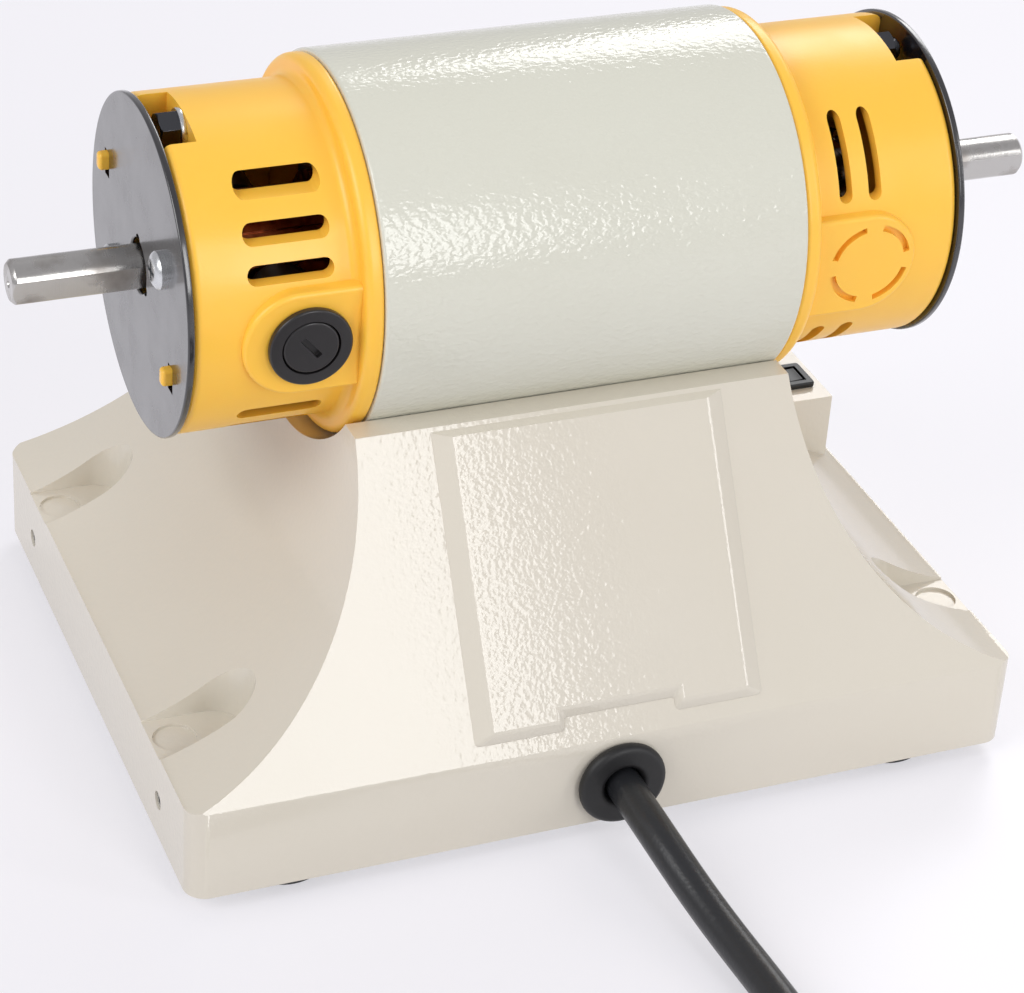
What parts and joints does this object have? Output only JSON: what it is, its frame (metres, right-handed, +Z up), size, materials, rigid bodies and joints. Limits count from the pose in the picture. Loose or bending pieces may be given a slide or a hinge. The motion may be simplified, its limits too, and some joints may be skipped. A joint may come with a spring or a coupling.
{
  "type": "dental polishing lathe",
  "caption": "Bench polishing lathe with a double-ended shaft: cast cream pedestal with flared saddle, ivory motor tube, vented yellow end caps, speed dial, switch and mains lead.",
  "frame": {"origin": "bottom centre of the machine without its mains lead, on the surface under the feet", "axes": "+X along the shaft towards the brush end, +Y towards the side where the mains lead leaves, +Z up"},
  "size_m": [0.3138, 0.3685, 0.16],
  "materials": {
    "bearing_steel": "polished",
    "black_phenolic": "moulded, glossy",
    "black_plastic": "moulded, satin",
    "black_plate": "semi-gloss black",
    "black_rubber": "matte",
    "black_steel": "black oxide",
    "board_laminate": "green solder mask",
    "carbon": "pressed carbon",
    "commutator_copper": "turned copper",
    "cord_pvc": "satin flexible sheath",
    "cover_steel": "zinc plated sheet",
    "cream_casting": "gloss enamel with fine orange peel over a cast surface",
    "fan_aluminium": "die cast",
    "grey_nylon": "moulded",
    "ground_steel": "ground, lightly oiled",
    "ivory_tube": "hammered ivory enamel",
    "lamination_steel": "varnished laminations",
    "pin_brass": "bright",
    "spring_brass": "spring wire",
    "winding_copper": "varnished copper wire",
    "yellow_cap": "smooth golden yellow enamel",
    "zinc_steel": "bright zinc plate"
  },
  "bodies": {
    "machine": {"bolt_washer_lower": "zinc_steel", "bolt_washer_upper": "zinc_steel", "bottom_cover": "cover_steel", "brush_cap_front": "black_phenolic", "brush_cap_rear": "black_phenolic", "brush_end_bearing_outer_ring": "bearing_steel", "brush_end_cap": "yellow_cap", "brush_end_plate": "black_plate", "brush_end_plate_screw_lower": "zinc_steel", "brush_end_plate_screw_upper": "zinc_steel", "brush_holder_front": "black_phenolic", "brush_holder_rear": "black_phenolic", "brush_spring_front": "spring_brass", "brush_spring_rear": "spring_brass", "control_board": "board_laminate", "cord_clamp": "grey_nylon", "cord_grommet": "black_rubber", "cover_screw_left_front": "zinc_steel", "cover_screw_left_rear": "zinc_steel", "cover_screw_right_front": "zinc_steel", "cover_screw_right_rear": "zinc_steel", "fan_end_bearing_outer_ring": "bearing_steel", "fan_end_cap": "yellow_cap", "fan_end_plate": "black_plate", "fan_end_plate_screw_lower": "zinc_steel", "fan_end_plate_screw_upper": "zinc_steel", "field_coil_lower": "winding_copper", "field_coil_upper": "winding_copper", "mains_lead_inner": "cord_pvc", "mains_plug_body": "cord_pvc", "mains_plug_pins": "pin_brass", "motor_mount_screw_left": "zinc_steel", "motor_mount_screw_right": "zinc_steel", "motor_tube": "ivory_tube", "pedestal_casting": "cream_casting", "power_cord": "cord_pvc", "power_cord_coil": "cord_pvc", "power_cord_tail": "cord_pvc", "rubber_foot_left_front": "black_rubber", "rubber_foot_left_rear": "black_rubber", "rubber_foot_right_front": "black_rubber", "rubber_foot_right_rear": "black_rubber", "speed_potentiometer": "zinc_steel", "stator_core": "lamination_steel", "switch_housing": "black_plastic", "through_bolt_lower": "black_steel", "through_bolt_upper": "black_steel"},
    "rotor": {"spindle_shaft": "ground_steel", "armature_core": "lamination_steel", "armature_windings": "winding_copper", "commutator": "commutator_copper", "cooling_fan": "fan_aluminium", "brush_end_bearing_inner_ring": "bearing_steel", "fan_end_bearing_inner_ring": "bearing_steel"},
    "brush_end_cage": {"brush_end_bearing_ball_cage": "bearing_steel"},
    "fan_end_cage": {"fan_end_bearing_ball_cage": "bearing_steel"},
    "speed_dial": {"speed_knob": "black_plastic"},
    "power_rocker": {"switch_rocker": "black_plastic"},
    "rear_brush": {"carbon_brush_rear": "carbon"},
    "front_brush": {"carbon_brush_front": "carbon"}
  },
  "joints": [
    {"name": "spindle_spin", "type": "hinge", "parent": "machine", "child": "rotor", "pos_m": [0, 0, 0.117], "axis": [1, 0, 0], "continuous": true},
    {"name": "brush_end_cage_spin", "type": "hinge", "parent": "machine", "child": "brush_end_cage", "pos_m": [0, 0, 0.117], "axis": [1, 0, 0], "continuous": true},
    {"name": "fan_end_cage_spin", "type": "hinge", "parent": "machine", "child": "fan_end_cage", "pos_m": [0, 0, 0.117], "axis": [1, 0, 0], "continuous": true},
    {"name": "speed_dial_turn", "type": "hinge", "parent": "machine", "child": "speed_dial", "pos_m": [-0.07775, -0.0525, 0.0445], "axis": [0, 0, -1], "range_deg": [0, 270]},
    {"name": "power_rocker_tilt", "type": "hinge", "parent": "machine", "child": "power_rocker", "pos_m": [-0.08215, -0.0275, 0.0439], "axis": [0, 1, 0], "range_deg": [0, 9]},
    {"name": "rear_brush_slide", "type": "slide", "parent": "machine", "child": "rear_brush", "axis": [0, 0.998, -0.0628], "range_m": [0, 0.004], "stiffness_N_per_m": 250, "springref_m": -0.004, "deforming": ["brush_spring_rear"]},
    {"name": "front_brush_slide", "type": "slide", "parent": "machine", "child": "front_brush", "axis": [0, -0.998, 0.0628], "range_m": [0, 0.004], "stiffness_N_per_m": 250, "springref_m": -0.004, "deforming": ["brush_spring_front"]}
  ],
  "couplings": [
    {"joint": "brush_end_cage_spin", "follows": "spindle_spin", "ratio": 0.38},
    {"joint": "fan_end_cage_spin", "follows": "spindle_spin", "ratio": 0.38}
  ]
}
